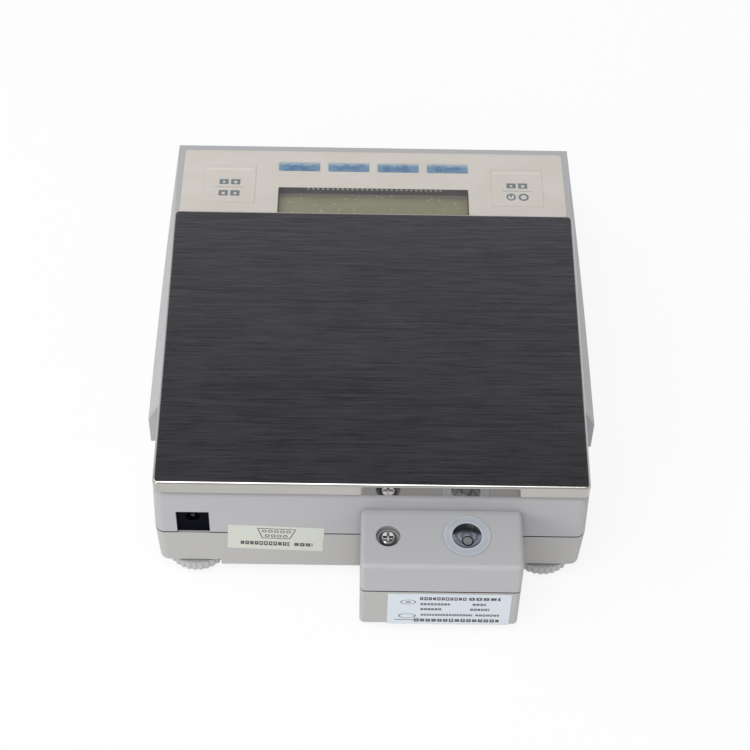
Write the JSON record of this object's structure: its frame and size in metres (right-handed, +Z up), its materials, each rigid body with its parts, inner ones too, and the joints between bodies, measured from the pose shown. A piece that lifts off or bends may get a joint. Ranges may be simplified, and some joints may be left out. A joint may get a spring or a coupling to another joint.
{
  "type": "electronic top-loading balance",
  "caption": "Top-loading electronic balance with a brushed steel pan, sloping key panel with display, rear spirit-level block and knurled levelling feet.",
  "frame": {"origin": "on the table, under the middle of the balance's bounding box", "axes": "+Z up; -Y towards the operator, where the keys and display are; +Y towards the rear block and power socket; +X towards the operator's right"},
  "size_m": [0.2024, 0.2464, 0.074],
  "materials": {
    "housing_plastic": "fine moulded texture, warm light grey",
    "pan_steel": "fine lines across the width",
    "buffer_rubber": "matt black",
    "cast_aluminium": "machined",
    "gauge_film": "amber film",
    "plate_steel": "plated",
    "screw_steel": "bright plated",
    "circuit_board": "green solder mask",
    "black_plastic": "moulded",
    "lead_cover": "smooth",
    "ribbon_film": "film",
    "backlight_plastic": "milky",
    "lcd_film": "olive grey display film",
    "window_acrylic": "clear",
    "overlay_film": "satin printed film, beige",
    "blue_key": "printed blue",
    "label_cream": "satin printed",
    "label_white": "satin printed",
    "ring_plastic": "white",
    "vial_acrylic": "clear",
    "bubble": "air bubble",
    "wheel_plastic": "moulded",
    "stud_steel": "plated thread",
    "insert_brass": "turned"
  },
  "bodies": {
    "base": {"base_plate": "plate_steel", "base_plate_screws": "screw_steel", "block_screw": "screw_steel", "board_parts": "black_plastic", "board_screws": "screw_steel", "case_screws": "screw_steel", "cell_base_screws": "screw_steel", "cell_base_spacer": "cast_aluminium", "cell_lead": "lead_cover", "dc_jack": "black_plastic", "display_board": "circuit_board", "display_board_screws": "screw_steel", "display_ribbon": "ribbon_film", "display_window": "window_acrylic", "foot_inserts": "insert_brass", "jack_pin": "screw_steel", "keypad_overlay": "overlay_film", "lcd_backlight": "backlight_plastic", "lcd_contacts": "screw_steel", "lcd_glass": "lcd_film", "level_bubble": "bubble", "level_ring": "ring_plastic", "level_vial": "vial_acrylic", "load_cell": "cast_aluminium", "lower_housing": "housing_plastic", "main_board": "circuit_board", "overload_stop": "plate_steel", "port_label": "label_cream", "power_leads": "lead_cover", "rating_label": "label_white", "rear_block_base": "housing_plastic", "rear_block_cover": "housing_plastic", "strain_gauges": "gauge_film", "tact_switches": "black_plastic", "upper_housing": "housing_plastic"},
    "weigher": {"pan_carrier": "cast_aluminium", "cell_top_spacer": "cast_aluminium", "carrier_screws": "screw_steel", "pan_buffers": "buffer_rubber"},
    "pan": {"weighing_pan": "pan_steel", "pan_sockets": "pan_steel"},
    "key_tare": {"key_tare": "overlay_film", "key_tare_plunger": "ring_plastic"},
    "key_power": {"key_power": "overlay_film", "key_power_plunger": "ring_plastic"},
    "function_key_1": {"function_key_1": "blue_key", "function_key_1_plunger": "ring_plastic"},
    "function_key_2": {"function_key_2": "blue_key", "function_key_2_plunger": "ring_plastic"},
    "function_key_3": {"function_key_3": "blue_key", "function_key_3_plunger": "ring_plastic"},
    "function_key_4": {"function_key_4": "blue_key", "function_key_4_plunger": "ring_plastic"},
    "foot_1": {"foot_pad_1": "buffer_rubber"},
    "foot_wheel_1": {"foot_wheel_1": "wheel_plastic", "foot_stud_1": "stud_steel"},
    "foot_2": {"foot_pad_2": "buffer_rubber"},
    "foot_wheel_2": {"foot_wheel_2": "wheel_plastic", "foot_stud_2": "stud_steel"},
    "foot_3": {"foot_pad_3": "buffer_rubber"},
    "foot_wheel_3": {"foot_wheel_3": "wheel_plastic", "foot_stud_3": "stud_steel"},
    "foot_4": {"foot_pad_4": "buffer_rubber"},
    "foot_wheel_4": {"foot_wheel_4": "wheel_plastic", "foot_stud_4": "stud_steel"}
  },
  "joints": [
    {"name": "load_deflection", "type": "slide", "parent": "base", "child": "weigher", "axis": [0, 0, -1], "range_m": [0, 0.0004], "stiffness_N_per_m": 100000, "deforming": ["load_cell"]},
    {"name": "pan_lift", "type": "slide", "parent": "weigher", "child": "pan", "axis": [0, 0, 1], "range_m": [0, 0.03]},
    {"name": "key_tare_press", "type": "slide", "parent": "base", "child": "key_tare", "axis": [0, 0.1478, -0.989], "range_m": [0, 0.0004], "stiffness_N_per_m": 4000},
    {"name": "key_power_press", "type": "slide", "parent": "base", "child": "key_power", "axis": [0, 0.1478, -0.989], "range_m": [0, 0.0004], "stiffness_N_per_m": 4000},
    {"name": "function_key_1_press", "type": "slide", "parent": "base", "child": "function_key_1", "axis": [0, 0.1478, -0.989], "range_m": [0, 0.0004], "stiffness_N_per_m": 4000},
    {"name": "function_key_2_press", "type": "slide", "parent": "base", "child": "function_key_2", "axis": [0, 0.1478, -0.989], "range_m": [0, 0.0004], "stiffness_N_per_m": 4000},
    {"name": "function_key_3_press", "type": "slide", "parent": "base", "child": "function_key_3", "axis": [0, 0.1478, -0.989], "range_m": [0, 0.0004], "stiffness_N_per_m": 4000},
    {"name": "function_key_4_press", "type": "slide", "parent": "base", "child": "function_key_4", "axis": [0, 0.1478, -0.989], "range_m": [0, 0.0004], "stiffness_N_per_m": 4000},
    {"name": "foot_1_height", "type": "slide", "parent": "base", "child": "foot_1", "axis": [0, 0, -1], "range_m": [-0.00125, 0.00375]},
    {"name": "foot_1_turn", "type": "hinge", "parent": "foot_1", "child": "foot_wheel_1", "pos_m": [0.079, -0.1, 0.0073], "axis": [0, 0, -1], "range_deg": [-360, 1080]},
    {"name": "foot_2_height", "type": "slide", "parent": "base", "child": "foot_2", "axis": [0, 0, -1], "range_m": [-0.00125, 0.00375]},
    {"name": "foot_2_turn", "type": "hinge", "parent": "foot_2", "child": "foot_wheel_2", "pos_m": [-0.079, -0.1, 0.0073], "axis": [0, 0, -1], "range_deg": [-360, 1080]},
    {"name": "foot_3_height", "type": "slide", "parent": "base", "child": "foot_3", "axis": [0, 0, -1], "range_m": [-0.00125, 0.00375]},
    {"name": "foot_3_turn", "type": "hinge", "parent": "foot_3", "child": "foot_wheel_3", "pos_m": [0.079, 0.0805, 0.0073], "axis": [0, 0, -1], "range_deg": [-360, 1080]},
    {"name": "foot_4_height", "type": "slide", "parent": "base", "child": "foot_4", "axis": [0, 0, -1], "range_m": [-0.00125, 0.00375]},
    {"name": "foot_4_turn", "type": "hinge", "parent": "foot_4", "child": "foot_wheel_4", "pos_m": [-0.079, 0.0805, 0.0073], "axis": [0, 0, -1], "range_deg": [-360, 1080]}
  ],
  "couplings": [
    {"joint": "foot_1_turn", "follows": "foot_1_height", "rad_per_m": 5026.5},
    {"joint": "foot_2_turn", "follows": "foot_2_height", "rad_per_m": 5026.5},
    {"joint": "foot_3_turn", "follows": "foot_3_height", "rad_per_m": 5026.5},
    {"joint": "foot_4_turn", "follows": "foot_4_height", "rad_per_m": 5026.5}
  ]
}
